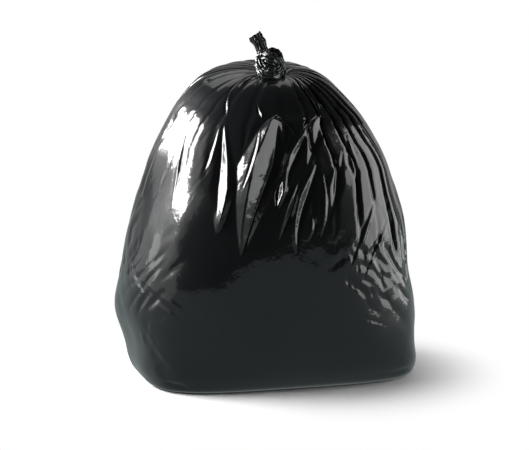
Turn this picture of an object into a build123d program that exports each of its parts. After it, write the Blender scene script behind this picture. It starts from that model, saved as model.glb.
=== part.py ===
from build123d import *
import math
import os

# A filled refuse sack, tied shut with an overhand knot in its own film.
#
# The whole sack is one piece: a tube of thin polyethylene film, welded across the bottom, filled, and
# gathered at the mouth, where the bundle of pleats is knotted round itself. The film can't be seen
# through, so the sack is one closed solid of its true outer form: a flat base, a taut belly, shoulders
# where the spare film folds into pleats that run up to the neck, the knot, the short tail of the mouth
# above it and the bight of the knot beside it.
#
# Frame: millimetres, +Z up, the front of the sack towards -Y. The origin is on the floor, under the
# middle of the sack's box.

# --- Driving dimensions -------------------------------------------------------------------------

FACE_WIDTH = 457.0  # the flat sack's face; its base opens to this by twice the gusset
GUSSET_DEPTH = 140.0  # each side is folded in by this much while the sack is flat
FLAT_LENGTH = 991.0  # the sack as cut, from the bottom weld to the mouth
FILM_GIRTH = 2 * FACE_WIDTH + 4 * GUSSET_DEPTH

FILLED_WIDTH = 494.0  # widest, at the belly
FILLED_DEPTH = 380.0
NECK_HEIGHT = 511.0  # where the pleats meet under the knot
NECK_RADIUS = 17.0
NECK_PLACE = (7.0, -42.0)  # the knot stands a little to the right of the middle, and well to the front

# Each level of the belly and shoulders: height, share of the full width, share of the full depth, where
# its middle stands in X and Y, and squareness of the plan, where 2 is an ellipse and more is boxier.
LEVELS = [
    (0.0, 0.860, 0.745, 12.0, 0.0, 4.2),
    (5.0, 0.915, 0.810, 12.0, 0.0, 4.0),
    (20.0, 0.950, 0.872, 11.0, 0.0, 3.6),
    (66.0, 0.980, 0.957, 7.0, 0.0, 3.0),
    (118.0, 1.000, 0.995, 0.0, 0.0, 2.7),
    (170.0, 0.980, 1.000, -1.0, 0.0, 2.6),
    (230.0, 0.935, 0.992, 2.0, 0.0, 2.5),
    (300.0, 0.870, 0.955, 5.0, 0.0, 2.4),
    (360.0, 0.797, 0.880, 7.0, 0.0, 2.3),
    (418.0, 0.688, 0.765, 3.0, 0.0, 2.2),
    (464.0, 0.565, 0.620, -2.0, -3.0, 2.1),
    (496.0, 0.425, 0.470, -3.0, -12.0, 2.0),
    (509.0, 0.300, 0.330, 1.0, -24.0, 2.0),
    (513.0, 0.190, 0.210, 5.0, -34.0, 2.0),
    (509.0, 0.125, 0.145, 7.0, -39.0, 2.0),
]

# The main pleats, as the direction of each valley in degrees about the neck, and its share of full depth.
PLEATS = [
    (11, 0.8), (31, 1.0), (52, 0.6), (76, 1.0), (97, 0.7), (121, 0.9), (146, 0.6), (168, 1.0),
    (191, 0.7), (213, 1.0), (233, 0.8), (251, 0.6), (268, 1.0), (288, 0.9), (309, 0.7), (337, 1.0),
]
PLEAT_DEPTH = 15.0  # the deepest valley, at the shoulders
PLEAT_SHARE = 0.18  # of the level's radius, which no valley goes beyond
PLEAT_HALF_WIDTH = 6.0  # degrees
PLEAT_FOOT = 215.0  # below this height the filling stretches the pleats flat
PLEAT_FULL = 440.0  # above this height they have their full depth
OUTLINE_POINTS = 96
POINTS_PER_FLUTE = 6

# The knot: the neck's bundle goes up, once round itself, and out to the upper left as the tail.
BUNDLE_RADIUS = 10.5
KNOT_RADIUS = 12.5  # from the neck's line to the middle of the turn round it
KNOT_RISE = 13.0  # the turn's height above where the pleats meet
KNOT_TILT = 24.0  # degrees, down at the front and right
NECK_FLUTES = 14
FOLD_GROOVE = 0.12  # of the bundle's radius, between each two folds of the neck and the bight
TAIL_GROOVE = 0.2  # the same in the tail, which is looser
TAIL_LENGTH = 54.0
TAIL_LEAN = 32.0  # degrees from upright, to the left
TAIL_WIDTH = 22.0
TAIL_THICKNESS = 14.0
TAIL_PLEATS = 7
BIGHT_LENGTH = 32.0
BIGHT_LEAN = 30.0  # degrees from upright, to the right
BIGHT_WIDTH = 18.0
BIGHT_THICKNESS = 12.0
BIGHT_PLEATS = 5

# Cross-sections along each bundle: the distance along it, and the share of its full width there.
NECK_SECTIONS = [(-14.0, 2.6), (0.0, 1.9), (10.0, 1.25), (KNOT_RISE + 6.0, 1.0)]
TAIL_SECTIONS = [(0.0, 0.85), (TAIL_LENGTH * 0.5, 0.9), (TAIL_LENGTH * 0.8, 1.0), (TAIL_LENGTH, 0.92)]
BIGHT_SECTIONS = [(0.0, 1.0), (BIGHT_LENGTH * 0.6, 1.0), (BIGHT_LENGTH * 0.88, 0.85), (BIGHT_LENGTH, 0.55)]


# --- The sack's body ----------------------------------------------------------------------------


def smooth_share(value, low, high):
    """0 below low, 1 above high, and a smooth rise between."""
    share = min(1.0, max(0.0, (value - low) / (high - low)))
    return share * share * (3.0 - 2.0 * share)


def pleat_valley(angle):
    """How deep the valleys lie in this direction, from 0 on a ridge to 1 at the bottom of the deepest."""
    depth = 0.0
    for direction, share in PLEATS:
        apart = (angle - direction + 180.0) % 360.0 - 180.0
        depth += share * math.exp(-((apart / PLEAT_HALF_WIDTH) ** 2))
    return min(depth, 1.0)


def level_outline(height, width_share, depth_share, middle_x, middle_y, squareness):
    """The closed outline of the film at one level, with the pleats pressed into it."""
    half_width = FILLED_WIDTH / 2 * width_share
    half_depth = FILLED_DEPTH / 2 * depth_share
    gathered = smooth_share(height, PLEAT_FOOT, PLEAT_FULL)
    points = []
    for step in range(OUTLINE_POINTS):
        angle = 360.0 * step / OUTLINE_POINTS
        across, along = math.cos(math.radians(angle)), math.sin(math.radians(angle))
        radius = (abs(across) / half_width) ** squareness + (abs(along) / half_depth) ** squareness
        radius = radius ** (-1.0 / squareness)
        radius -= min(PLEAT_DEPTH, PLEAT_SHARE * radius) * gathered * pleat_valley(angle)
        points.append(Vector(middle_x + radius * across, middle_y + radius * along, height))
    return Wire([Edge.make_spline(points, periodic=True)])


def sack_body():
    """The belly and shoulders, from the flat base to the ring of film under the neck."""
    return Solid.make_loft([level_outline(*level) for level in LEVELS])


# --- The neck and knot --------------------------------------------------------------------------


def fluted_outline(plane, width, thickness, flutes, depth):
    """A flattened bundle of pleats, cut across: an oval with a shallow groove between each two folds."""
    points = []
    steps = flutes * POINTS_PER_FLUTE
    for step in range(steps):
        turn = 2 * math.pi * step / steps
        groove = 1.0 - depth * (0.5 - 0.5 * math.cos(flutes * turn))
        across = width / 2 * groove * math.cos(turn)
        along = thickness / 2 * groove * math.sin(turn)
        points.append(plane.from_local_coords(Vector(across, along, 0)))
    return Wire([Edge.make_spline(points, periodic=True)])


def neck_plane(height):
    """A level plane across the neck, this far above where the pleats meet."""
    return Plane(origin=(NECK_PLACE[0], NECK_PLACE[1], NECK_HEIGHT + height), z_dir=(0, 0, 1))


def neck():
    """The gathered film, drawn in from the shoulders to the bundle that is tied."""
    wires = []
    for rise, share in NECK_SECTIONS:
        width = 2 * NECK_RADIUS * share
        wires.append(fluted_outline(neck_plane(rise), width, width, NECK_FLUTES, FOLD_GROOVE))
    return Solid.make_loft(wires)


def knot_turn():
    """The turn of the bundle round the neck, a ring that lies lowest at the front."""
    middle = neck_plane(KNOT_RISE)
    ring = Torus(KNOT_RADIUS, BUNDLE_RADIUS)
    return middle.location * Rotation(KNOT_TILT, KNOT_TILT / 2, 0) * ring


def leaning_plane(lean, distance):
    """A plane across a bundle that leaves the knot's middle at this lean to the right, this far out."""
    direction = Vector(math.sin(math.radians(lean)), 0, math.cos(math.radians(lean)))
    start = Vector(NECK_PLACE[0], NECK_PLACE[1], NECK_HEIGHT + KNOT_RISE)
    side = Vector(math.cos(math.radians(lean)), 0, -math.sin(math.radians(lean)))
    return Plane(origin=start + direction * distance, x_dir=side, z_dir=direction)


def leaning_bundle(lean, sections, width, thickness, pleats, groove):
    """A flattened bundle that leaves the knot's middle at this lean, through these cross-sections."""
    wires = []
    for reach, share in sections:
        plane = leaning_plane(lean, reach)
        wires.append(fluted_outline(plane, width * share, thickness * share, pleats, groove))
    return Solid.make_loft(wires)


def tail():
    """The sack's mouth: a flat, pleated bundle that flares a little towards its cut end."""
    return leaning_bundle(-TAIL_LEAN, TAIL_SECTIONS, TAIL_WIDTH, TAIL_THICKNESS, TAIL_PLEATS, TAIL_GROOVE)


def bight():
    """The part of the knot that bulges out at its upper right."""
    return leaning_bundle(BIGHT_LEAN, BIGHT_SECTIONS, BIGHT_WIDTH, BIGHT_THICKNESS, BIGHT_PLEATS, FOLD_GROOVE)


# --- The whole sack -----------------------------------------------------------------------------


def refuse_sack():
    """Body, neck, knot, tail and bight as the one piece of film that they are."""
    return sack_body() + neck() + knot_turn() + tail() + bight()


def centred(shape):
    """The same shape with its box centred over the origin."""
    box = shape.bounding_box()
    middle = (box.min + box.max) * 0.5
    return Pos(-middle.X, -middle.Y, -box.min.Z) * shape


sack = centred(refuse_sack())
print("solids", len(sack.solids()), "volume in litres", round(sack.volume / 1e6, 1))
print("size", sack.bounding_box().size)
print("girth of the film", FILM_GIRTH, "length of the film", FLAT_LENGTH)

os.makedirs("parts", exist_ok=True)
export_step(sack, "parts/refuse_sack.step")
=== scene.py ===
# %% [markdown]
# # A knotted refuse sack
#
# The real object is one tube of black polyethylene film, about 30 microns thick. It is welded shut
# across the bottom, filled, gathered at the mouth and tied in an overhand knot in its own film.
# Everything that the eye reads as "refuse sack" comes from one fact: the film bends easily but hardly
# stretches. Where the filling is as wide as the film is round, the film is taut and smooth. Higher up
# the filling narrows and the film doesn't, so the spare film has to go into pleats.
#
# The lesson builds the film from that fact. A formula pleats the spare film over the form at every level,
# a short relaxation creases it where it hangs slack, a list of large folds gives the front its facets,
# Geometry Nodes sweep the bundle through the knot, and one material gives both the gloss of thin plastic.
# All lengths of film are in millimetres until the meshes are made.

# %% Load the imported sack
import math

import bmesh
import bpy
import numpy as np
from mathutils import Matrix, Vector


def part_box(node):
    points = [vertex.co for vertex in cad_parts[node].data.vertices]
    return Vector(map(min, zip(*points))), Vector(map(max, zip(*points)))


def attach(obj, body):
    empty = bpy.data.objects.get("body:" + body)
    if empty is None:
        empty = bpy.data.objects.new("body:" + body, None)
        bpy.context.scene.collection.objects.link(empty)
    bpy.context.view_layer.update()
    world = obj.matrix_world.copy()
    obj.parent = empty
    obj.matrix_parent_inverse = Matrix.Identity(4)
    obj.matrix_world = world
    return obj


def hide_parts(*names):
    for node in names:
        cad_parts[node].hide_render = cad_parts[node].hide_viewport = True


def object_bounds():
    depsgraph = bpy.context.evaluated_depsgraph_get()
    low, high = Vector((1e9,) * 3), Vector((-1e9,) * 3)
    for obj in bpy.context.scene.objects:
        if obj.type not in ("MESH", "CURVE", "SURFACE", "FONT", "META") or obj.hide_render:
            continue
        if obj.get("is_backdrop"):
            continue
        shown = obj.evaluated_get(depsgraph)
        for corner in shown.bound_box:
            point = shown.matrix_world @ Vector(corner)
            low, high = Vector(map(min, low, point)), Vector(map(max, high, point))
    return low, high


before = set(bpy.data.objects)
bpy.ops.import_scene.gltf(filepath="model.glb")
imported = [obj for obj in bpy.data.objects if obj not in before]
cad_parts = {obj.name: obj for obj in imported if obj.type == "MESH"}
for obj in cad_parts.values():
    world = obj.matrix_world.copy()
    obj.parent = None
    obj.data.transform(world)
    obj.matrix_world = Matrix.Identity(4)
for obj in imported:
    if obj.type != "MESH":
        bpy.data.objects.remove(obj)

MM = 0.001
SACK = "refuse_sack"
cad_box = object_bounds()
low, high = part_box(SACK)
width, depth, height = ((high - low) / MM)
print(f"the packed sack is {width:.0f} wide, {depth:.0f} deep and {height:.0f} mm high")

# %% [markdown]
# ## The film's measurements
#
# A sack this size is cut from a tube 457 mm wide with 140 mm gussets folded in on both sides, so the
# film is 1474 mm round everywhere, filled or not. The outside form is a stack of levels, each a rounded
# box in plan: how high it is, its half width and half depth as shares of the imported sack's, how far its
# middle stands to the right, and how square it is, where 2 is an ellipse. Past the last wide level the
# form turns over a crest and dips to the neck. A smooth curve through the levels gives every level
# between.

# %% Levels of the filled sack
FACE_WIDTH = 457.0
GUSSET_DEPTH = 140.0
GIRTH = 2 * FACE_WIDTH + 4 * GUSSET_DEPTH

LEVELS = np.array([
    (0.0, 0.860, 0.745, 12.0, 4.2),
    (5.0, 0.915, 0.810, 12.0, 4.0),
    (20.0, 0.950, 0.872, 11.0, 3.6),
    (66.0, 0.980, 0.957, 7.0, 3.0),
    (118.0, 1.000, 0.995, 0.0, 2.7),
    (170.0, 0.980, 1.000, -1.0, 2.6),
    (230.0, 0.935, 0.992, 2.0, 2.5),
    (300.0, 0.870, 0.955, 5.0, 2.4),
    (360.0, 0.797, 0.880, 7.0, 2.3),
    (418.0, 0.688, 0.765, 3.0, 2.2),
    (464.0, 0.565, 0.620, -2.0, 2.1),
    (496.0, 0.425, 0.470, -3.0, 2.0),
    (509.0, 0.300, 0.330, 1.0, 2.0),
    (513.0, 0.190, 0.210, 5.0, 2.0),
    (511.0, 0.105, 0.125, 8.0, 2.0),
    (505.0, 0.062, 0.078, 10.0, 2.0),
])
LEVELS[:, 1] *= width / 2
LEVELS[:, 2] *= depth / 2


def up_the_side():
    """How much film there is from the floor up to each level."""
    reach = LEVELS[:, 1:3].mean(axis=1)
    steps = np.hypot(np.diff(LEVELS[:, 0]), np.diff(reach))
    return np.concatenate([[0.0], np.cumsum(steps)])


LEVEL_PLACES = up_the_side()
SIDE = LEVEL_PLACES[-1]


def levels_at(places):
    """The levels' numbers at these places up the film, on a smooth curve through the given ones."""
    slopes = np.gradient(LEVELS, LEVEL_PLACES, axis=0)
    k = np.clip(np.searchsorted(LEVEL_PLACES, places) - 1, 0, len(LEVELS) - 2)
    span = (LEVEL_PLACES[k + 1] - LEVEL_PLACES[k])[:, None]
    t = (places - LEVEL_PLACES[k])[:, None] / span
    start, end = LEVELS[k], LEVELS[k + 1]
    leave, arrive = slopes[k] * span, slopes[k + 1] * span
    return (start * (1 + 2 * t) * (1 - t) ** 2 + end * t * t * (3 - 2 * t)
            + leave * t * (1 - t) ** 2 - arrive * t * t * (1 - t))


print(f"film: {GIRTH:.0f} mm round, {SIDE:.0f} mm from the floor to the knot")

# %% [markdown]
# ## The form that the film lies on
#
# The film lies on the filling, which is never a smooth egg. Soft rubbish pushes it out in broad lumps,
# and the folds that the film was packed with leave straight edges up the corners of the gussets. Both
# are added to the plan of each level as small distances outwards. A few sine waves with seeded
# directions make lumps that close up round the sack, which a noise texture would not do by itself.
# Towards the top the form also dips and shifts to the front, where the knot is.

# %% Outline of every level
COLUMNS = 460
ROWS = 200
CLOSE = 1440
PLACES = np.linspace(0.0, SIDE, ROWS)
FINEST_AT = 0.46  # the columns are closest together here, at the front
CROWDING = 0.4
TURNS = np.arange(COLUMNS + 1) / COLUMNS
COLUMN_EDGES = TURNS - CROWDING / (2 * math.pi) * np.sin(2 * math.pi * (TURNS - FINEST_AT))
COLUMN_EDGES = COLUMN_EDGES - COLUMN_EDGES[0]
AROUND = (COLUMN_EDGES[1:] + COLUMN_EDGES[:-1]) / 2
WIDTHS = np.diff(COLUMN_EDGES)
CORNER_FOLDS = (0.155, 0.345, 0.655, 0.845)
LEAN = 0.30  # the top dips this steeply towards the front, where the knot lies
FORWARD = 40.0  # the neck stands this far in front of the middle
SHIFTED_OVER = 220.0  # the film's last stretch, over which the form moves forward to the neck
LUMP_HEIGHT = 2.4
SMOOTHER_AHEAD = 0.6  # the share of the lumps that is missing at the very front
CORNER_HEIGHT = 2.2
CORNER_WIDTH = 0.022  # as a share of the way round


def rise(value, start, end):
    """0 up to start, 1 from end, and a smooth rise between."""
    t = np.clip((value - start) / (end - start), 0.0, 1.0)
    return t * t * (3 - 2 * t)


def lumps(directions, heights, seed, waves=26, size=115.0, most=9, least=1):
    """Soft bumps over the filling, about one unit high: how many round the sack, and their size up it."""
    rng = np.random.default_rng(seed)
    total = np.zeros(np.broadcast_shapes(directions.shape, heights.shape))
    for _ in range(waves):
        turns = rng.integers(least, most)
        climb = rng.uniform(-1.0, 1.0) / size * 2 * math.pi
        total = total + np.cos(turns * directions + climb * heights + rng.uniform(0, 2 * math.pi))
    return total / math.sqrt(waves)


def outlines(places):
    """Points close together round each level, and the length of film up to each of them."""
    high_at, half_width, half_depth, middle, square = (levels_at(places)[:, k:k + 1] for k in range(5))
    turn = np.linspace(0.0, 2 * math.pi, CLOSE + 1)[None] + math.pi / 2
    across, along = np.cos(turn), np.sin(turn)
    radius = (np.abs(across / half_width) ** square + np.abs(along / half_depth) ** square) ** (-1 / square)
    filled = rise(high_at, 0, 50) * (1 - rise(high_at, 330, 470))
    ahead = np.clip(-along, 0, 1) ** 2
    radius = radius + LUMP_HEIGHT * filled * (1 - SMOOTHER_AHEAD * ahead) * lumps(turn, high_at, seed=11)
    share = np.linspace(0.0, 1.0, CLOSE + 1)[None]
    for fold in CORNER_FOLDS:
        away = np.abs((share - fold + 0.5) % 1 - 0.5)
        radius = radius + CORNER_HEIGHT * np.exp(-(away / CORNER_WIDTH) ** 2) * filled
    lean = LEAN * radius * along * rise(high_at, 420, 505)
    forward = FORWARD * rise(places, SIDE - SHIFTED_OVER, SIDE)[:, None]
    points = np.stack([middle + radius * across, radius * along - forward, high_at + lean], axis=-1)
    steps = np.linalg.norm(np.diff(points, axis=1), axis=2)
    lengths = np.concatenate([np.zeros((len(points), 1)), np.cumsum(steps, axis=1)], axis=1)
    return points, lengths


form, form_lengths = outlines(PLACES)
HEIGHTS = levels_at(PLACES)[:, 0]
spare = GIRTH / form_lengths[:, -1]
belly = np.argmin(spare)
print(f"at {HEIGHTS[belly]:.0f} mm the form takes up the whole film, to a factor of {spare[belly]:.3f}")
print(f"at 460 mm there is {spare[np.argmin(np.abs(HEIGHTS - 460))]:.2f} times as much film as form")

# %% [markdown]
# ## Where the pleats go
#
# Each pleat has a place round the film, a share of the film, and a height at which the filling
# stretches it flat. At the front the pleats follow the way such a sack is gathered by two hands: broad
# panels on one side, narrow ones on the other. Round the back their places are drawn at random.
#
# Spare film is used up by giving it a slope against the form. The cosine of the slope is how much form
# each step of film covers, so the slope that a pleat needs is found by halving, row by row and pleat by
# pleat. Each level asks for the film's whole girth, with two exceptions. Below a third of the way up the
# film is laid close on the form. Near the knot real pleats lie over each other, which one skin can't do,
# so no level takes more than 2.4 times its own length, and there the model has less film than the sack.

# %% Pleats
MIDWAY, TOP = 400.0, 500.0  # heights, in mm

# Place round the sack at the foot, at MIDWAY and at the top; foot height; and how much of the spare film
# goes into the pleat. Places run from 0 at the back by the left, and the front is at 0.5.
FRONT_PLEATS = [
    (0.240, 0.250, 0.255, 300.0, 0.7), (0.295, 0.300, 0.305, 320.0, 0.4),
    (0.337, 0.333, 0.330, 310.0, 0.4), (0.366, 0.366, 0.362, 345.0, 0.6),
    (0.418, 0.420, 0.415, 390.0, 0.3), (0.480, 0.486, 0.490, 390.0, 0.5),
    (0.515, 0.530, 0.550, 265.0, 0.7), (0.545, 0.560, 0.578, 250.0, 0.7),
    (0.578, 0.591, 0.604, 240.0, 0.8), (0.606, 0.616, 0.628, 160.0, 0.7),
    (0.634, 0.643, 0.652, 180.0, 0.9), (0.664, 0.669, 0.676, 150.0, 0.8),
]
PLEAT_SPACING = 0.043  # on average, of the pleats that aren't listed


def all_pleats(seed=3):
    """All pleats in order round the film: three places, the foot, the slant of the next panel, the weight.

    The front's panels have no slant; the others have a small one at random.
    """
    rng = np.random.default_rng(seed)
    pleats = [(*places_and_foot, 0.0, weight) for *places_and_foot, weight in FRONT_PLEATS]
    place = pleats[-1][0] + 0.030
    while place < 1 + pleats[0][0] - 0.018:
        lean = rng.normal(0, 0.004) + 0.008 * math.exp((0.66 - place) / 0.1)
        pleats.append((place, place + lean, place + 1.5 * lean, rng.uniform(170, 290),
                       rng.normal(0, 0.15), rng.uniform(0.6, 1.4)))
        place += PLEAT_SPACING * rng.uniform(0.6, 1.4)
    return np.array(pleats).T


FEET_AT, MIDWAYS_AT, TOPS_AT, FEET, SLANTS, WEIGHTS = all_pleats()
CLIMB = np.maximum.accumulate(HEIGHTS)
GATHERED = rise(CLIMB, 400, 520)[:, None]


def pleat_places():
    """Where each pleat is round the sack, in every row."""
    rng = np.random.default_rng(8)
    places = FEET_AT + (MIDWAYS_AT - FEET_AT) * np.clip((CLIMB[:, None] - FEET) / (MIDWAY - FEET), 0, 1)
    places = places + (TOPS_AT - MIDWAYS_AT) * rise(CLIMB[:, None], MIDWAY - 30, TOP + 20)
    return places + 0.001 * np.sin(PLACES[:, None] / 45 + rng.uniform(0, 6.28, len(FEET)))


DRIFT_REACH = 0.025  # the film follows the pleats within about this share of the way round


def drift(where):
    """How far the film has gone round the sack by each row, so that it runs along its pleats."""
    away = (where[..., None] - FEET_AT + 0.5) % 1 - 0.5
    near = np.exp(-(away / DRIFT_REACH) ** 2)
    return np.einsum("rcp,rp->rc", near / near.sum(axis=-1, keepdims=True), ON_SACK - FEET_AT)


ON_SACK = pleat_places()
PLEATS = FEET_AT + np.zeros((ROWS, 1))
for _ in range(4):
    PLEATS = ON_SACK - drift(PLEATS)
FOLLOWING = np.roll(PLEATS, -1, axis=1)
FOLLOWING[:, -1] += 1
EDGES = (PLEATS + FOLLOWING) / 2
DRIFT = drift(np.broadcast_to(AROUND, (ROWS, COLUMNS)))
SPREAD = 1 + (drift(PLEATS + 0.01) - drift(PLEATS - 0.01)) / 0.02
SHARES = EDGES - np.roll(EDGES, 1, axis=1)
SHARES[:, 0] += 1
print(len(FEET), "pleats,", f"{SHARES.min() * GIRTH:.0f} to {SHARES.max() * GIRTH:.0f} mm of film each")

# %% Slopes that use up the spare film
LEAST_SPARE, MOST_SPARE = 1.003, 2.4
STEEPEST = 1.5
FLATNESS = 0.8  # 1 makes each panel a straight chord, 0 leaves it on the form's curve


def nearest_pleats():
    """Which pleat every point of the film belongs to, and how far it is from it, as a share of the film."""
    away = (AROUND[None, :, None] - PLEATS[:, None, :] + 0.5) % 1 - 0.5
    edges = np.mod(EDGES, 1.0)
    order = np.argsort(edges, axis=1)
    owner = np.empty((ROWS, COLUMNS), int)
    for row in range(ROWS):
        rank = np.searchsorted(edges[row][order[row]], AROUND) % len(FEET)
        owner[row] = order[row][rank]
    return owner, np.take_along_axis(away, owner[..., None], axis=2)[..., 0]


def panels(owner, away):
    """The slope of the flat panels between pleats: each is a chord of the form, turned by its slant."""
    panel = np.where(away >= 0, owner, owner - 1) % len(FEET)
    left = np.take_along_axis(PLEATS, panel, axis=1)
    right = np.take_along_axis(np.roll(PLEATS, -1, axis=1), panel, axis=1)
    width = (right - left) % 1
    along = (AROUND[None] - left) % 1 / width
    plan = np.diff(form[..., :2], axis=1)
    heading = np.unwrap(np.arctan2(plan[..., 1], plan[..., 0]), axis=1)
    shares = form_lengths[:, :-1] / form_lengths[:, -1:]
    slope = np.empty((ROWS, COLUMNS))
    for row in range(ROWS):
        turn = heading[row, -1] - heading[row, 0]
        here = np.interp(AROUND, shares[row], heading[row])
        middle = AROUND + (0.5 - along[row]) * width[row]
        there = np.interp(middle % 1, shares[row], heading[row]) + np.floor(middle) * turn
        slope[row] = (here - there) * FLATNESS
    feet = np.maximum(FEET[panel], FEET[(panel + 1) % len(FEET)])
    slant = SLANTS[panel] * rise(CLIMB[:, None], feet - 40, feet + 40) * (1 - 0.6 * GATHERED)
    return slope * rise(CLIMB[:, None], feet - 60, feet + 60) + slant


def spread_once(values, owner):
    """Each pleat's number, at every point of its share of the film."""
    return np.take_along_axis(values, owner, axis=1)


def slopes_for(taken):
    """How steeply the film leans in and out, so that every pleat holds its own share of the spare film."""
    owner, away = nearest_pleats()
    opened = rise(CLIMB[:, None], FEET, FEET + 70)
    weights = WEIGHTS ** (1 + 2 * GATHERED)
    weights = weights / (weights * SHARES).sum(axis=1, keepdims=True)
    wanted = np.minimum(taken[:, None] * weights / SPREAD, MOST_SPARE)
    taken = LEAST_SPARE + np.maximum(wanted - LEAST_SPARE, 0) * opened
    opened = np.take_along_axis(opened, owner, axis=1)
    half = np.take_along_axis(SHARES, owner, axis=1) * (0.03 + 0.06 * opened ** 0.5 + 0.05 * GATHERED)
    bump = np.exp(0.5 - 0.5 * (away / half) ** 2)
    crease = away / half * bump * opened
    panel = panels(owner, away) * (1 - np.clip(bump * opened, 0, 1))
    member = (owner[..., None] == np.arange(len(FEET))) * (spread_once(taken, owner) * WIDTHS)[..., None]
    member /= np.maximum(member.sum(axis=1, keepdims=True), 1e-9)

    def share_of(values):
        return np.einsum("rcp,rc->rp", member, values)

    def spread(values):
        return spread_once(values, owner)

    least, most = np.zeros(FEET.shape) + np.zeros((ROWS, 1)), np.full((ROWS, len(FEET)), 8.0)
    for _ in range(16):
        scale = (least + most) / 2
        slope = panel + spread(scale) * crease
        lowest, highest = np.full(scale.shape, -4.0), np.full(scale.shape, 4.0)
        for _ in range(12):
            shift = (lowest + highest) / 2
            leaning = np.clip(slope + spread(shift) * bump * opened, -STEEPEST, STEEPEST)
            outwards = share_of(np.sin(leaning)) > 0
            lowest, highest = np.where(outwards, lowest, shift), np.where(outwards, shift, highest)
        too_flat = share_of(np.cos(leaning)) > 1 / taken
        least, most = np.where(too_flat, scale, least), np.where(too_flat, most, scale)
    return leaning, owner, member, spread(taken * SPREAD)


# %% Lay the film on the form
MOST_PROUD = 7.0
LAID_CLOSE = 0.3  # of the way up the side, below which the film has hardly any spare length
TOP_TWIST = 0.02  # how far the hands turned the film as they gathered it, as a share of the way round
TWISTED_OVER = 60.0


def film_round():
    """The length of film laid round each level, as a multiple of the form's own length there."""
    close = 1.0 + 0.02 * rise(PLACES, 0, 60)
    wanted = np.where(PLACES < SIDE * LAID_CLOSE, np.minimum(spare, close), spare)
    return np.clip(wanted, LEAST_SPARE, MOST_SPARE)


def lay_film():
    """Where every point of the film starts, where it lies on the form, and which way is out."""
    taken = film_round()
    slope, owner, member, taken = slopes_for(taken)
    step = taken * WIDTHS * form_lengths[:, -1:]
    covered = np.cos(slope) * step
    along = (np.cumsum(covered, axis=1) - covered / 2) / covered.sum(axis=1, keepdims=True)
    starts = (AROUND + DRIFT)[:, :1]
    twist = rise(PLACES, SIDE - TWISTED_OVER, SIDE)[:, None] * TOP_TWIST
    along = starts + (along - along[:, :1]) + twist
    sink = np.sin(slope)
    mean = np.take_along_axis(np.einsum("rcp,rc->rp", member, sink), owner, axis=1)
    sink = np.cumsum((sink - mean) * step, axis=1)
    for row in range(ROWS):
        sink[row] -= np.interp(EDGES[row, 0], AROUND, sink[row])
    resting = np.empty((ROWS, COLUMNS, 3))
    for row in range(ROWS):
        where = (along[row] % 1.0) * form_lengths[row, -1]
        for axis in range(3):
            resting[row, :, axis] = np.interp(where, form_lengths[row], form[row, :, axis])
    outward = facing(resting)
    gaps = (step + np.roll(step, -1, axis=1)) / 2
    return resting + np.minimum(sink, MOST_PROUD)[..., None] * outward, resting, outward, gaps, along


def facing(points):
    """Unit vectors outwards from a sheet of rows and columns that closes round its columns."""
    round_it = np.roll(points, -1, axis=1) - np.roll(points, 1, axis=1)
    up_it = np.gradient(points, axis=0)
    out = np.cross(round_it, up_it)
    return out / (np.linalg.norm(out, axis=2, keepdims=True) + 1e-9)


# Places round the film, heights and sizes of the patches where the film is slack, in shares and mm.
SLACK_PATCHES = [
    (0.600, 190.0, 0.040, 55.0), (0.560, 215.0, 0.030, 35.0), (0.655, 45.0, 0.030, 45.0),
    (0.310, 215.0, 0.045, 40.0), (0.330, 120.0, 0.045, 60.0), (0.345, 45.0, 0.030, 35.0),
    (0.700, 200.0, 0.060, 90.0), (0.845, 60.0, 0.030, 50.0), (0.155, 60.0, 0.030, 50.0),
    (0.030, 210.0, 0.060, 60.0), (0.210, 190.0, 0.045, 80.0), (0.905, 150.0, 0.040, 60.0),
]
TAUT = 1.002  # the film's length over the form's, where it is taut
EXTRA = 0.022  # how much longer it is in the middle of a slack patch


def slack():
    """How much longer than the form the film is at every point, beyond its pleats."""
    spread = np.zeros((ROWS, COLUMNS))
    for place, centre, wide, tall in SLACK_PATCHES:
        away = (AROUND[None] - place + 0.5) % 1 - 0.5
        spread += np.exp(-(away / wide) ** 2 - ((HEIGHTS[:, None] - centre) / tall) ** 2)
    return TAUT + EXTRA * np.clip(spread, 0, 1.2)


def risers():
    """How far apart the rows are up the film, measured on the form."""
    under = form[:, np.round(AROUND * CLOSE).astype(int)]
    return np.linalg.norm(np.diff(under, axis=0), axis=2)[..., None]


laid, resting, outward, spacing, along = lay_film()
SLACK = slack()[..., None]
RISERS = risers()
print(f"film points {spacing.min():.2f} to {spacing.max():.2f} mm apart round,",
      f"{RISERS.min():.2f} to {RISERS.max():.2f} mm up")

# %% [markdown]
# ## Let the slack film crease
#
# Where nothing stretches it, on the flanks and at the corners of the base, a real sack's film
# crumples into short creases that no formula draws well. Cloth could make them. Here the same idea is
# written out with arrays, so that each rule can be read and given its own strength: move every point a
# little with its own momentum, push the film out with the filling's pressure, pull it down with gravity,
# then put every edge back to the length it was laid with. Edges are handled in alternate pairs, so that
# no point is moved twice at once. The film may not sink far into the filling, and the bottom rows and
# the knot's rows are held. The slack patches start with shallow dents, which give the creases a place.

# %% The relaxing film
STEPS = 60
PRESSURE = 0.003
WEIGHT = 0.003
FOLD_STIFFNESS = 0.08
SLACK_STIFFNESS = 0.5
HELD_BELOW, HELD_ABOVE = 3, 3
SMOOTHINGS = 2
MOMENTUM_KEPT = 0.92
DENT_HEIGHT = 1.2


def restore(a, b, rest, free_a, free_b, stiffness, squeeze):
    """Moves the points of a and b together or apart towards their true distance."""
    gap = b - a
    length = np.sqrt(np.einsum("ijk,ijk->ij", gap, gap))[..., None] + 1e-9
    share = 1 - rest / length
    share = np.where(share < 0, share * squeeze, share * stiffness) / np.maximum(free_a + free_b, 1e-6)
    gap *= share
    a += gap * free_a
    b -= gap * free_b


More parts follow.
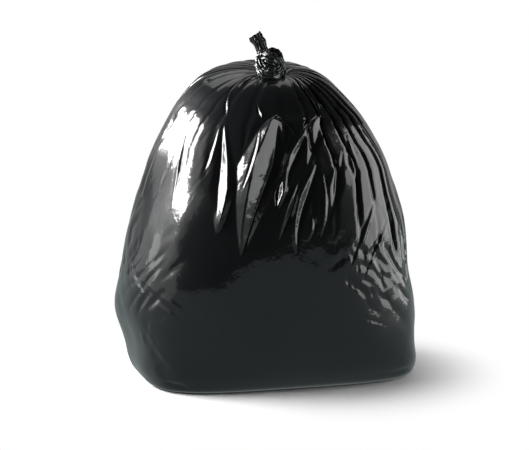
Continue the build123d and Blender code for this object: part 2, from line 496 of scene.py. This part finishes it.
def restore_round(film, round_gaps, free):
    """Puts the steps round the film back to length, and keeps folds from being too sharp."""
    for turn in (0, 1):
        film = np.roll(film, -turn, axis=1)
        restore(film[:, 0::2], film[:, 1::2], round_gaps[:, turn::2], free, free, 1.0, SLACK_STIFFNESS)
        film = np.roll(film, turn, axis=1)
    wide = round_gaps + np.roll(round_gaps, -1, axis=1)
    for turn in (0, 2):
        rest = np.roll(wide, -turn, axis=1).reshape(ROWS, COLUMNS // 4, 4, 1)[:, :, :2].reshape(ROWS, -1, 1)
        quads = np.roll(film, -turn, axis=1).reshape(ROWS, COLUMNS // 4, 4, 3)
        first = quads[:, :, :2].reshape(ROWS, COLUMNS // 2, 3)
        second = quads[:, :, 2:].reshape(ROWS, COLUMNS // 2, 3)
        restore(first, second, rest, free, free, 0.0, FOLD_STIFFNESS)
        quads = np.concatenate([first.reshape(ROWS, -1, 2, 3), second.reshape(ROWS, -1, 2, 3)], axis=2)
        film = np.roll(quads.reshape(ROWS, COLUMNS, 3), turn, axis=1)
    return film


def restore_up(film, round_gaps, up_gaps, shear, free):
    """The same for the steps up the film and its two diagonals, which the drift has sheared."""
    across = (round_gaps[1:] + round_gaps[:-1]) / 2
    for turn in (0, 1, -1):
        length = np.sqrt((turn * across + shear) ** 2 + up_gaps ** 2)
        stiffness = 0.5 if turn else 1.0
        for first in (0, 1):
            last = first + (ROWS - first) // 2 * 2
            upper = np.roll(film[first + 1:last:2], -turn, axis=1)
            restore(film[first:last:2], upper, length[first:last - 1:2], free[first:last:2],
                    free[first + 1:last:2], stiffness, stiffness * SLACK_STIFFNESS)
            film[first + 1:last:2] = np.roll(upper, turn, axis=1)
    for first in range(3):
        rows = np.arange(first, ROWS - 2, 3)
        lower, upper = film[rows], film[rows + 2]
        tall = up_gaps[rows] + up_gaps[rows + 1]
        restore(lower, upper, tall, free[rows], free[rows + 2], 0.0, FOLD_STIFFNESS)
        film[rows], film[rows + 2] = lower, upper
    return film


def relax(film, resting, outward, spacing, steps):
    """The film after it has settled."""
    film, resting, outward = (a.astype(np.float32) for a in (film, resting, outward))
    round_gaps = (spacing[..., None] * SLACK).astype(np.float32)
    up_gaps = (RISERS * SLACK[:-1]).astype(np.float32)
    shear = (np.diff(DRIFT, axis=0) * form_lengths[:-1, -1:])[..., None].astype(np.float32)
    free = np.ones((ROWS, 1, 1), np.float32)
    free[:HELD_BELOW] = free[-HELD_ABOVE:] = 0
    sink_limit = (3.0 + 30.0 * rise(HEIGHTS, 200, 440))[:, None]
    proud_limit = (1.0 + 7.0 * rise(HEIGHTS, 240, 360))[:, None]
    before = film.copy()
    for _ in range(steps):
        momentum = (film - before) * MOMENTUM_KEPT
        before = film.copy()
        film = film + (momentum + PRESSURE * facing(film)) * free
        film[..., 2] -= WEIGHT * free[..., 0]
        film = restore_round(film, round_gaps, free)
        film = restore_up(film, round_gaps, up_gaps, shear, free)
        proud = np.einsum("ijk,ijk->ij", film - resting, outward)
        back = np.maximum(-sink_limit - proud, 0) + np.minimum(proud_limit - proud, 0) * 0.5
        film += back[..., None].astype(np.float32) * outward * free
        film[..., 2] = np.maximum(film[..., 2], 0.2 * free[..., 0])
    for _ in range(SMOOTHINGS):
        film[1:-1] = film[1:-1] / 2 + (film[:-2] + film[2:]) / 4
    return film.astype(float)


dents = lumps(AROUND[None] * 2 * math.pi, HEIGHTS[:, None], seed=5, waves=40, size=34.0, most=34, least=8)
slackness = (SLACK[..., 0] - TAUT) / EXTRA
laid = laid + outward * (dents * DENT_HEIGHT * slackness)[..., None]
film = relax(laid, resting, outward, spacing, STEPS)
stretch = np.linalg.norm(np.roll(film, -1, axis=1) - film, axis=2) / spacing
shortest, longest = np.percentile(stretch, (5, 95))
print(f"relaxed: nine tenths of the steps round are {shortest:.3f} to {longest:.3f} of their laid length")

# %% [markdown]
# ## Blades
#
# Where hands pulled the neck together, the front of the film stands in a few large folds. Each is a
# blade: it starts at a point under the knot, widens, and runs out in another point on the belly, and one
# of its faces is turned enough to catch a lamp that the film beside it misses. Such folds are what the
# eye takes for the sack's character, so they are listed one by one. A smooth curve through three points
# is the blade's line, a tilted face rises to one side of it, and past the face the film falls back to
# the form. They push the film outwards and so add a little to its length.

# %% Blades
# Top, middle and tip of each, as place round the sack and height; half width; where it is widest, as a
# share of the way down; slope, above 0 if the face is turned to the left; and how far it stands proud
# near its top and near its tip.
BLADES = [
    ((0.387, 441), (0.400, 357), (0.402, 265), 8.5, 0.60, 0.62, 0.0, 5.0),
    ((0.450, 444), (0.434, 357), (0.424, 323), 2.0, 0.60, 1.10, 0.0, 0.0),
    ((0.483, 468), (0.451, 363), (0.434, 228), 16.0, 0.40, -0.75, 9.0, 0.0),
    ((0.484, 462), (0.498, 430), (0.508, 410), 3.5, 0.50, -0.70, 2.0, 0.0),
    ((0.567, 462), (0.506, 401), (0.481, 311), 6.0, 0.50, -0.65, 5.0, 0.0),
    ((0.572, 462), (0.530, 407), (0.514, 366), 9.0, 0.50, -0.42, 5.0, 0.0),
    ((0.485, 366), (0.477, 332), (0.471, 298), 4.5, 0.50, 1.10, 0.0, 0.0),
    ((0.503, 351), (0.488, 304), (0.476, 251), 5.0, 0.50, -0.65, 0.0, 0.0),
    ((0.532, 375), (0.507, 323), (0.500, 225), 6.5, 0.35, -0.60, 0.0, 0.0),
    ((0.513, 301), (0.518, 276), (0.511, 248), 3.0, 0.50, -0.70, 0.0, 0.0),
    ((0.535, 369), (0.536, 314), (0.525, 244), 3.2, 0.50, -0.80, 0.0, 0.0),
    ((0.576, 390), (0.549, 335), (0.534, 262), 8.0, 0.45, -0.35, 0.0, 0.0),
    ((0.597, 413), (0.586, 372), (0.588, 329), 5.0, 0.50, 0.60, 0.0, 0.0),
    ((0.640, 290), (0.605, 235), (0.580, 175), 4.0, 0.50, 0.60, 0.0, 0.0),
    ((0.622, 330), (0.593, 276), (0.562, 190), 4.0, 0.50, 0.50, 0.0, 0.0),
    ((0.319, 438), (0.331, 351), (0.337, 289), 2.4, 0.50, -1.00, 0.0, 0.0),
    ((0.381, 435), (0.375, 372), (0.368, 345), 3.0, 0.60, 0.50, 0.0, 0.0),
    ((0.325, 520), (0.364, 490), (0.387, 449), 2.4, 0.60, 0.60, 0.0, 0.0),
    ((0.330, 520), (0.346, 512), (0.369, 504), 2.2, 0.60, 0.90, 0.0, 0.0),
    ((0.433, 496), (0.446, 477), (0.453, 452), 2.2, 0.60, 1.00, 0.0, 0.0),
    ((0.600, 512), (0.598, 500), (0.582, 472), 4.0, 0.60, -0.80, 0.0, 0.0),
    ((0.620, 508), (0.631, 485), (0.622, 449), 3.0, 0.60, -0.80, 0.0, 0.0),
    ((0.300, 190), (0.345, 160), (0.385, 112), 9.0, 0.50, 0.12, 0.0, 0.0),
    ((0.270, 215), (0.300, 180), (0.335, 150), 9.0, 0.50, -0.14, 0.0, 0.0),
    ((0.380, 150), (0.402, 118), (0.415, 85), 7.0, 0.50, 0.12, 0.0, 0.0),
    ((0.560, 130), (0.590, 110), (0.620, 95), 6.0, 0.50, -0.12, 0.0, 0.0),
    ((0.330, 90), (0.345, 60), (0.375, 30), 8.0, 0.50, 0.15, 0.0, 0.0),
]
RETURN = 1.6  # a blade falls back to the form over this many of its half widths, on either side


def blades(where, heights, around):
    """How far the large folds carry the film outwards, at these places round the sack."""
    out = np.zeros(where.shape)
    for top, middle, tip, half_width, widest, slope, top_proud, tip_proud in BLADES:
        points = np.array([top, middle, tip])
        down = (top[1] - heights) / (top[1] - tip[1])
        path = np.polyfit((top[1] - points[:, 1]) / (top[1] - tip[1]), points[:, 0], 2)
        share = np.clip(np.minimum(down / widest, (1 - down) / (1 - widest)), 0, 1)
        half = half_width * share ** 0.8 + 0.01
        away = ((where - np.polyval(path, down) + 0.5) % 1 - 0.5) * around / half
        fall = np.clip(1 - (np.abs(away) - 1) / RETURN, 0, 1) * (share > 0)
        proud = np.interp(down, (0, 0.1, 0.5, 0.9, 1), (0, top_proud, 0, tip_proud, 0))
        out += (slope * half * np.clip(away, -1, 1) + proud) * fall
    return out


# %% [markdown]
# ## Put the film together
#
# The relaxed film is used in full only in the slack patches. On the broad taut panels the relaxation
# leaves ripples that real film doesn't have, so there nine tenths of it is left out. Then the blades are
# added. The print compares the result with the girth of the real film, level by level: a few per cent
# off where the pleats are open, and well short of it near the knot.

# %% The finished film
SETTLED_ANYWHERE = 0.1
SETTLED_BY_SLACK = 1.2

settled = np.clip(SETTLED_ANYWHERE + SETTLED_BY_SLACK * slackness, 0, 1)[..., None]
film = laid + (film - laid) * settled
film = film + blades(along, HEIGHTS[:, None], form_lengths[:, -1:])[..., None] * outward
rings = np.linalg.norm(np.roll(film, -1, axis=1) - film, axis=2).sum(axis=1)
for level in (30, 118, 250, 300, 400, 440, 480, 505):
    row = np.argmin(np.abs(CLIMB - level))
    print(f"at {level} mm the film is {rings[row]:.0f} mm round, and the real film {GIRTH:.0f}")

# %% [markdown]
# ## From points to a mesh
#
# The rows and columns become one skin. Below the lowest row the film turns under the sack and runs in to
# the bottom weld, a straight line from side to side, so the columns of the front half and the back half
# come together there in pairs. Above the top row the skin is closed inside the knot. A UV map holds each
# point's place on the flat film in metres, so that marks which belong to the film, such as the lines the
# die leaves, can follow it into every fold.

# %% Skin of the sack
UNDER_ROWS = 9
UNDER_HEIGHT = 0.5  # the film under the sack keeps this far off the floor
LIP = 3.0
LIP_WAVE = 0.9
LIP_ROWS = ((0, 1.0, 0.5), (1, 0.95, 1.3), (2, 0.35, 3.6))  # row, share of the lip, height
WELD_WIDTH = 0.93  # of the sack's
WELD_RISE = 0.9


def lay_lip(film):
    """The bottom fold stands a few millimetres proud of the sack where it meets the floor."""
    wave = lumps(AROUND * 2 * math.pi, np.zeros(1), seed=22, waves=12)
    out = outward[2:3] * [1, 1, 0]
    for row, share, lift in LIP_ROWS:
        proud = out[0] * (LIP + LIP_WAVE * wave)[:, None] * share
        film[row] = resting[row] * [1, 1, 0] + proud + [0, 0, lift]
    return film


def under_sack(film):
    """Rows from the bottom fold in to the weld."""
    edge = film[0]
    mirrored = edge[(COLUMNS // 2 - 1 - np.arange(COLUMNS)) % COLUMNS]
    weld = (edge + mirrored) / 2 * [WELD_WIDTH, 0, 0]
    rows = []
    for step in range(1, UNDER_ROWS + 1):
        t = step / UNDER_ROWS
        rows.append(edge * (1 - t) + weld * t)
        rows[-1][:, 2] = UNDER_HEIGHT + WELD_RISE * t ** 6
    return np.array(rows)


def skin(name, film):
    """The closed mesh of the film, with its flat places as a UV map."""
    under = under_sack(film)
    rows = np.concatenate([under[::-1], film])
    count = len(rows)
    points = rows.reshape(-1, 3) * MM
    column = np.arange(COLUMNS)
    lower = np.arange(count - 1)[:, None] * COLUMNS
    beside = (column + 1) % COLUMNS
    upper = lower + COLUMNS
    quads = np.stack([lower + column, lower + beside, upper + beside, upper + column], axis=-1)
    lid = tuple((count - 1) * COLUMNS + column)
    mesh = bpy.data.meshes.new(name)
    mesh.from_pydata(points.tolist(), [], quads.reshape(-1, 4).tolist() + [lid])
    up = np.concatenate([-np.linspace(GUSSET_DEPTH, 0, UNDER_ROWS, endpoint=False), PLACES]) * MM
    across = COLUMN_EDGES * GIRTH * MM
    left, right = (np.broadcast_to(edge, (count - 1, COLUMNS)) for edge in (across[:-1], across[1:]))
    bottom, top = (np.broadcast_to(up[k:count - 1 + k, None], (count - 1, COLUMNS)) for k in (0, 1))
    flat = np.stack([left, bottom, right, bottom, right, top, left, top], axis=-1).reshape(-1)
    cap = np.stack([across[:-1], np.full(COLUMNS, up[-1])], axis=-1).reshape(-1)
    layer = mesh.uv_layers.new(name="film")
    layer.data.foreach_set("uv", np.concatenate([flat, cap]).astype(np.float32))
    work = bmesh.new()
    work.from_mesh(mesh)
    bmesh.ops.remove_doubles(work, verts=work.verts[:COLUMNS], dist=0.02 * MM)
    bmesh.ops.recalc_face_normals(work, faces=work.faces[:])
    work.to_mesh(mesh)
    work.free()
    mesh.shade_smooth()
    piece = bpy.data.objects.new(name, mesh)
    bpy.context.scene.collection.objects.link(piece)
    return piece


sack_film = skin("sack_film", lay_lip(film))
print(len(sack_film.data.polygons), "faces in the sack's skin")

# %% [markdown]
# ## A short way to write node trees
#
# Both the swept knot and the film's finish are node trees. Trees are easiest to read as formulas, so one
# small class stands for a value on its way through a tree: adding, multiplying or taking a power of it
# adds the Math node that does so. Every other node comes from one method, which takes the node's type,
# then its settings, then the values or links of its sockets.

# %% Wires and trees
class Wire:
    """A value in a node tree."""

    def __init__(self, bench, socket):
        self.bench, self.socket = bench, socket

    def maths(self, operation, *values):
        return self.bench.node("ShaderNodeMath", {"operation": operation}, dict(enumerate(values)))

    def __add__(self, other):
        return self.maths("ADD", self, other)

    def __radd__(self, other):
        return self.maths("ADD", other, self)

    def __sub__(self, other):
        return self.maths("SUBTRACT", self, other)

    def __rsub__(self, other):
        return self.maths("SUBTRACT", other, self)

    def __mul__(self, other):
        return self.maths("MULTIPLY", self, other)

    def __rmul__(self, other):
        return self.maths("MULTIPLY", other, self)

    def __pow__(self, other):
        return self.maths("POWER", self, other)

    def __abs__(self):
        return self.maths("ABSOLUTE", self)


class Bench:
    """A node tree and the one way that nodes are put on it."""

    def __init__(self, tree):
        self.tree = tree

    def node(self, kind, settings=None, sockets=None, output=0):
        made = self.tree.nodes.new(kind)
        for name, value in (settings or {}).items():
            setattr(made, name, value)
        for name, value in (sockets or {}).items():
            if isinstance(value, Wire):
                self.tree.links.new(value.socket, made.inputs[name])
            else:
                made.inputs[name].default_value = value
        return Wire(self, made.outputs[output])


# %% [markdown]
# ## The knot and the tail
#
# Above the neck the film is a bundle of pleats about as thick as a thumb. It goes up at the right, over
# the front, behind itself, forward again under its own start and out at the upper left as a short tail:
# an overhand knot, pulled down on to the sack. A bundle that follows a path is a sweep, so Geometry Nodes
# carry a fluted ring along a smooth curve, with the curve's own radius, and then crumple the result with
# noise. Only the path is listed point by point, because no formula ties a knot the way hands do. Where
# the real turns press each other flat, the swept ones simply run into each other.

# %% Path of the bundle
TURN = math.radians(-16.0)  # the knot, the lamps and the camera are laid out along these two directions
TO_RIGHT = Vector((math.cos(TURN), math.sin(TURN), 0))
AWAY = Vector((-math.sin(TURN), math.cos(TURN), 0))
KNOT_PLACE = (6.0, -52.0, 524.0)

# Right, away and up from the middle of the knot, and the bundle's radius there.
KNOT_PATH = [
    (8, 6, -42, 12.0), (14, 0, -26, 11.0), (19, -8, -8, 9.5), (14, -14, 5, 9.0), (3, -16, 11, 9.0),
    (-8, -9, 11, 8.5), (-8, 4, 13, 8.0), (2, 9, 17, 8.0), (12, 8, 20, 8.0), (18, 3, 11, 8.0),
    (19, -6, -2, 8.5), (18, -15, -10, 9.0), (10, -23, -15, 9.5), (-1, -26, -15, 9.5), (-11, -21, -8, 9.0),
    (-14, -11, 1, 9.0), (-11, -3, 10, 9.0), (-8, 0, 19, 9.5), (-11, 0, 29, 10.5), (-17, -1, 40, 11.0),
    (-22, -1, 48, 11.0),
]


def bundle_path():
    """The path as a curve in the frame's metres."""
    curve = bpy.data.curves.new("bundle_path", "CURVE")
    curve.dimensions = "3D"
    spline = curve.splines.new("NURBS")
    spline.points.add(len(KNOT_PATH) - 1)
    right, away, up = KNOT_PLACE
    for point, (x, y, z, radius) in zip(spline.points, KNOT_PATH):
        place = TO_RIGHT * (right + x) + AWAY * (away + y) + Vector((0, 0, up + z))
        point.co = (*(place * MM), 1.0)
        point.radius = radius * MM
    spline.order_u = 3
    spline.use_endpoint_u = True
    spline.resolution_u = 12
    path = bpy.data.objects.new("knot", curve)
    bpy.context.scene.collection.objects.link(path)
    return path


# %% Sweep of the bundle
def sweep_tree():
    """Geometry nodes that carry the fluted ring along a path and crumple it."""
    tree = bpy.data.node_groups.new("swept bundle", "GeometryNodeTree")
    faces = tree.interface
    faces.new_socket("Path", in_out="INPUT", socket_type="NodeSocketGeometry")
    for name, kind, value in (("Steps", "NodeSocketInt", 190), ("Points Round", "NodeSocketInt", 84),
                              ("Flutes", "NodeSocketInt", 9), ("Flute Depth", "NodeSocketFloat", 0.42),
                              ("Crumple", "NodeSocketFloat", 0.005), ("Film", "NodeSocketMaterial", None)):
        socket = faces.new_socket(name, in_out="INPUT", socket_type=kind)
        if value is not None:
            socket.default_value = value
    faces.new_socket("Bundle", in_out="OUTPUT", socket_type="NodeSocketGeometry")
    bench = Bench(tree)
    entry = tree.nodes.new("NodeGroupInput")
    given = {socket.name: Wire(bench, socket) for socket in entry.outputs if socket.name}
    path = bench.node("GeometryNodeResampleCurve", {}, {"Curve": given["Path"], "Count": given["Steps"]})
    ring = bench.node("GeometryNodeCurvePrimitiveCircle", {},
                      {"Resolution": given["Points Round"], "Radius": 1.0})
    place = bench.node("GeometryNodeInputPosition")
    parts = bench.node("ShaderNodeSeparateXYZ", {}, {0: place})
    y = Wire(bench, parts.socket.node.outputs["Y"])
    angle = parts.maths("ARCTAN2", y, parts)
    wander = bench.node("ShaderNodeTexNoise", {}, {"Vector": place, "Scale": 1.1, "Detail": 1.0})
    fold = abs(angle.maths("SINE", angle * given["Flutes"] * 0.5 + wander * 5.0)) ** 0.65
    grooved = bench.node("ShaderNodeVectorMath", {"operation": "SCALE"},
                         {0: place, "Scale": 1.08 - given["Flute Depth"] * (1 - fold)})
    squashed = bench.node("ShaderNodeVectorMath", {"operation": "MULTIPLY"},
                          {0: grooved, 1: (1.18, 0.88, 1.0)})
    ring = bench.node("GeometryNodeSetPosition", {}, {"Geometry": ring, "Position": squashed})
    radius = bench.node("GeometryNodeInputRadius")
    bundle = bench.node("GeometryNodeCurveToMesh", {},
                        {"Curve": path, "Profile Curve": ring, "Scale": radius, "Fill Caps": True})
    normal = bench.node("GeometryNodeInputNormal")
    dents = bench.node("ShaderNodeTexNoise", {}, {"Vector": place, "Scale": 100.0, "Detail": 4.0})
    push = bench.node("ShaderNodeVectorMath", {"operation": "SCALE"},
                      {0: normal, "Scale": (dents - 0.5) * 2.0 * given["Crumple"]})
    bundle = bench.node("GeometryNodeSetPosition", {}, {"Geometry": bundle, "Offset": push})
    bundle = bench.node("GeometryNodeSetShadeSmooth", {}, {"Geometry": bundle})
    bundle = bench.node("GeometryNodeRealizeInstances", {}, {"Geometry": bundle})
    bundle = bench.node("GeometryNodeSetMaterial", {}, {"Geometry": bundle, "Material": given["Film"]})
    leave = tree.nodes.new("NodeGroupOutput")
    tree.links.new(bundle.socket, leave.inputs["Bundle"])
    return tree


MOUTH_WALL = 1.3
MOUTH_DEPTH = 16.0
MOUTH_NARROWS = 0.7


def open_mouth(work):
    """The tail's end is the sack's own mouth, so its cap is pushed in and leaves a thin pleated rim."""
    caps = [face for face in work.faces if len(face.verts) > 4]
    cap = max(caps, key=lambda face: face.calc_center_median().z)
    inward = -cap.normal.copy()
    bmesh.ops.inset_region(work, faces=[cap], thickness=MOUTH_WALL * MM)
    bmesh.ops.translate(work, verts=cap.verts[:], vec=inward * MOUTH_DEPTH * MM)
    middle = cap.calc_center_median()
    for vert in cap.verts:
        vert.co = middle + (vert.co - middle) * MOUTH_NARROWS


def swept_knot(material):
    """The knot as a plain mesh."""
    path = bundle_path()
    tree = sweep_tree()
    sweep = path.modifiers.new("sweep", "NODES")
    sweep.node_group = tree
    inputs = {item.name: item.identifier for item in tree.interface.items_tree if item.in_out == "INPUT"}
    sweep[inputs["Film"]] = material
    evaluated = path.evaluated_get(bpy.context.evaluated_depsgraph_get())
    mesh = bpy.data.meshes.new_from_object(evaluated)
    path.modifiers.remove(sweep)
    bpy.data.objects.remove(path)
    knot = bpy.data.objects.new("knot", mesh)
    bpy.context.scene.collection.objects.link(knot)
    work = bmesh.new()
    work.from_mesh(mesh)
    bmesh.ops.recalc_face_normals(work, faces=work.faces[:])
    open_mouth(work)
    work.to_mesh(mesh)
    work.free()
    return knot


# %% [markdown]
# ## Black film
#
# Polyethylene film is black from the carbon in it and shines like wet paint, but it has two kinds of
# shine. It mirrors a lamp sharply, and its grain scatters some of the light into a softer haze round the
# mirror image. The body's low roughness, a little uneven from place to place, gives the first, and a
# rougher coat gives the second. The die that the film was blown through leaves faint lines up its whole
# length, and handling leaves shallow dents and creases the size of a fingertip. All are too fine for the
# mesh, so they are bump. The lines read the flat film's UV map and follow it into the pleats.

# %% Material of the film
def film_material():
    """Glossy black film."""
    material = bpy.data.materials.new("black_film")
    material.use_nodes = True
    material.node_tree.nodes.clear()
    bench = Bench(material.node_tree)
    place = bench.node("ShaderNodeTexCoord", output="Object")
    flat = bench.node("ShaderNodeUVMap", {"uv_map": "film"})

    def noise(where, scale, detail=2.0, stretch=(1, 1, 1)):
        spread = bench.node("ShaderNodeMapping", {}, {"Vector": where, "Scale": stretch})
        return bench.node("ShaderNodeTexNoise", {}, {"Vector": spread, "Scale": scale, "Detail": detail})

    cloud = noise(place, 9.0)
    dents = noise(place, 38.0, 1.5)
    creases = abs(noise(place, 62.0, 2.0) - 0.5)
    die_lines = noise(flat, 260.0, 2.0, (1, 0.004, 1))
    colour = bench.node("ShaderNodeMix", {"data_type": "RGBA"},
                        {"Factor": cloud, "A": (0.005, 0.0055, 0.006, 1), "B": (0.011, 0.012, 0.013, 1)},
                        output="Result")
    relief = dents * 0.0004 - creases * 0.0005 + die_lines * 0.000012
    bumped = bench.node("ShaderNodeBump", {}, {"Strength": 1.0, "Distance": 1.0, "Height": relief})
    shader = bench.node("ShaderNodeBsdfPrincipled", {}, {
        "Base Color": colour, "Roughness": 0.03 + cloud * 0.10, "IOR": 1.5, "Coat Weight": 0.6,
        "Coat Roughness": 0.30, "Coat IOR": 1.4, "Normal": bumped})
    end = material.node_tree.nodes.new("ShaderNodeOutputMaterial")
    material.node_tree.links.new(shader.socket, end.inputs["Surface"])
    return material


black_film = film_material()
sack_film.data.materials.append(black_film)
knot = swept_knot(black_film)
knot_heights = [vert.co.z / MM for vert in knot.data.vertices]
knot_foot, knot_tip = min(knot_heights), max(knot_heights)
print(f"{len(knot.data.polygons)} faces in the knot, from {knot_foot:.0f} to {knot_tip:.0f} mm up")

# %% Put the pieces in the frame
for piece in (sack_film, knot):
    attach(piece, "root")
    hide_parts(SACK)

# %% [markdown]
# ## Studio
#
# Black gloss shows nothing of its own, only what stands round it, so the lamps are placed by what the
# film's faces mirror. At the left a long strip makes the white patches, a smaller one over it lights the
# dome, and a wide dim panel under them is the satin sheen. Two weak ones pick out faces turned nearly to
# the front and low on the left. At the right one large panel greys that side. A high one behind gives
# the crest its rim. The front stays dark, which keeps the middle of the sack black.
#
# The floor is plain pale paper to the eye. What it throws back at the film is set apart as an even
# slate, because the lower half of the sack mirrors nothing but floor, and a dark even floor is what
# gives such film its calm lower half.

# %% Floor, lamps and backdrop
def floor_material():
    """Pale paper, as bright as the backdrop where it runs out of sight, and slate to all but the eye."""
    material = bpy.data.materials.new("pale_floor")
    material.use_nodes = True
    material.node_tree.nodes.clear()
    bench = Bench(material.node_tree)
    place = bench.node("ShaderNodeTexCoord", output="Object")
    away = bench.node("ShaderNodeVectorMath", {"operation": "LENGTH"}, {0: place}, output="Value")
    far = bench.node("ShaderNodeMapRange", {"interpolation_type": "SMOOTHSTEP"},
                     {"Value": away, "From Min": 0.22, "From Max": 0.42, "To Min": 0.0, "To Max": 1.0})
    paper = bench.node("ShaderNodeBsdfPrincipled", {}, {"Base Color": (0.9, 0.9, 0.9, 1), "Roughness": 0.7})
    glow = bench.node("ShaderNodeEmission", {}, {"Color": (1, 1, 1, 1), "Strength": 1.0})
    seen_floor = bench.node("ShaderNodeMixShader", {}, {0: far, 1: paper, 2: glow})
    slate = bench.node("ShaderNodeEmission", {}, {"Color": (0.27, 0.31, 0.31, 1), "Strength": 1.0})
    seen = bench.node("ShaderNodeLightPath", output="Is Camera Ray")
    both = bench.node("ShaderNodeMixShader", {}, {0: seen, 1: slate, 2: seen_floor})
    end = material.node_tree.nodes.new("ShaderNodeOutputMaterial")
    material.node_tree.links.new(both.socket, end.inputs["Surface"])
    return material


FLOOR_REACH = 6.0


def plain_floor():
    """A large flat square under the sack."""
    mesh = bpy.data.meshes.new("floor")
    corners = [(x * FLOOR_REACH, y * FLOOR_REACH, 0) for x, y in ((-1, -1), (1, -1), (1, 1), (-1, 1))]
    mesh.from_pydata(corners, [], [(0, 1, 2, 3)])
    floor = bpy.data.objects.new("floor", mesh)
    bpy.context.scene.collection.objects.link(floor)
    mesh.materials.append(floor_material())
    floor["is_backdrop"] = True
    return floor


def lamp(name, side, rise_angle, distance, size, power, aim=(0, 0, 0.28)):
    """A rectangular lamp, placed by its direction from the sack: degrees round from the front, and up."""
    round_it, up = math.radians(side), math.radians(rise_angle)
    level = TO_RIGHT * math.sin(round_it) - AWAY * math.cos(round_it)
    toward = level * math.cos(up) + Vector((0, 0, math.sin(up)))
    data = bpy.data.lights.new(name, "AREA")
    data.shape = "RECTANGLE"
    data.size, data.size_y = size
    data.energy = power
    light = bpy.data.objects.new(name, data)
    light.location = Vector(aim) + toward * distance
    light.rotation_mode = "QUATERNION"
    light.rotation_quaternion = toward.to_track_quat("Z", "Y")
    bpy.context.scene.collection.objects.link(light)
    return light


plain_floor()
lamp("left_softbox", -94, 25, 1.6, (2.2, 0.38), 61)
lamp("left_crown", -88, 37, 1.6, (0.8, 0.3), 16)
lamp("left_front", -50, 21, 1.6, (0.7, 0.45), 0.62)
lamp("right_panel", 94, 11, 2.0, (2.2, 1.4), 24)
lamp("left_panel", -84, 4, 1.6, (2.9, 0.6), 3.4)
lamp("low_strip", -92, 6, 1.6, (0.5, 0.35), 1.3)
lamp("top_fill", 180, 62, 2.4, (2.4, 1.2), 9)


def backdrop():
    """White to the eye; to the film, dark all round and brighter behind the sack."""
    world = bpy.data.worlds.new("studio")
    bpy.context.scene.world = world
    world.use_nodes = True
    world.node_tree.nodes.clear()
    bench = Bench(world.node_tree)
    direction = bench.node("ShaderNodeTexCoord", output="Generated")
    behind = bench.node("ShaderNodeVectorMath", {"operation": "DOT_PRODUCT"},
                        {0: direction, 1: tuple(AWAY)}, output="Value")
    shade = bench.node("ShaderNodeMapRange", {"interpolation_type": "SMOOTHSTEP"},
                       {"Value": behind, "From Min": 0.72, "From Max": 0.97, "To Min": 0.02, "To Max": 0.4})
    seen = bench.node("ShaderNodeLightPath", output="Is Camera Ray")
    strength = shade * (1 - seen) + seen
    glow = bench.node("ShaderNodeBackground", {}, {"Color": (1, 1, 1, 1), "Strength": strength})
    end = world.node_tree.nodes.new("ShaderNodeOutputWorld")
    world.node_tree.links.new(glow.socket, end.inputs["Surface"])


backdrop()
bpy.context.scene.view_settings.view_transform = "Standard"

# %% [markdown]
# ## Camera
#
# The camera looks a little down on the sack from a few steps to the left of its front, far enough away
# that the sides hardly converge.

# %% Camera
def camera(up=8.5, distance=2.9, aim=0.250, field=0.894):
    """A camera this many degrees up and metres away, whose view is field metres wide at the sack."""
    data = bpy.data.cameras.new("camera")
    data.sensor_width = 36.0
    data.lens = 36.0 * distance / field
    eye = bpy.data.objects.new("camera", data)
    toward = -AWAY * math.cos(math.radians(up)) + Vector((0, 0, math.sin(math.radians(up))))
    eye.location = Vector((0, 0, aim)) + toward * distance
    eye.rotation_mode = "QUATERNION"
    eye.rotation_quaternion = (-toward).to_track_quat("-Z", "Y")
    bpy.context.scene.collection.objects.link(eye)
    bpy.context.scene.camera = eye


camera()

# %% Compare the sizes and finish
sizes = {"cad": [list(corner) for corner in cad_box], "visual": [list(corner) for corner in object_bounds()]}
for name, (lowest, highest) in sizes.items():
    print(name, [round((b - a) / MM, 1) for a, b in zip(lowest, highest)], "mm")
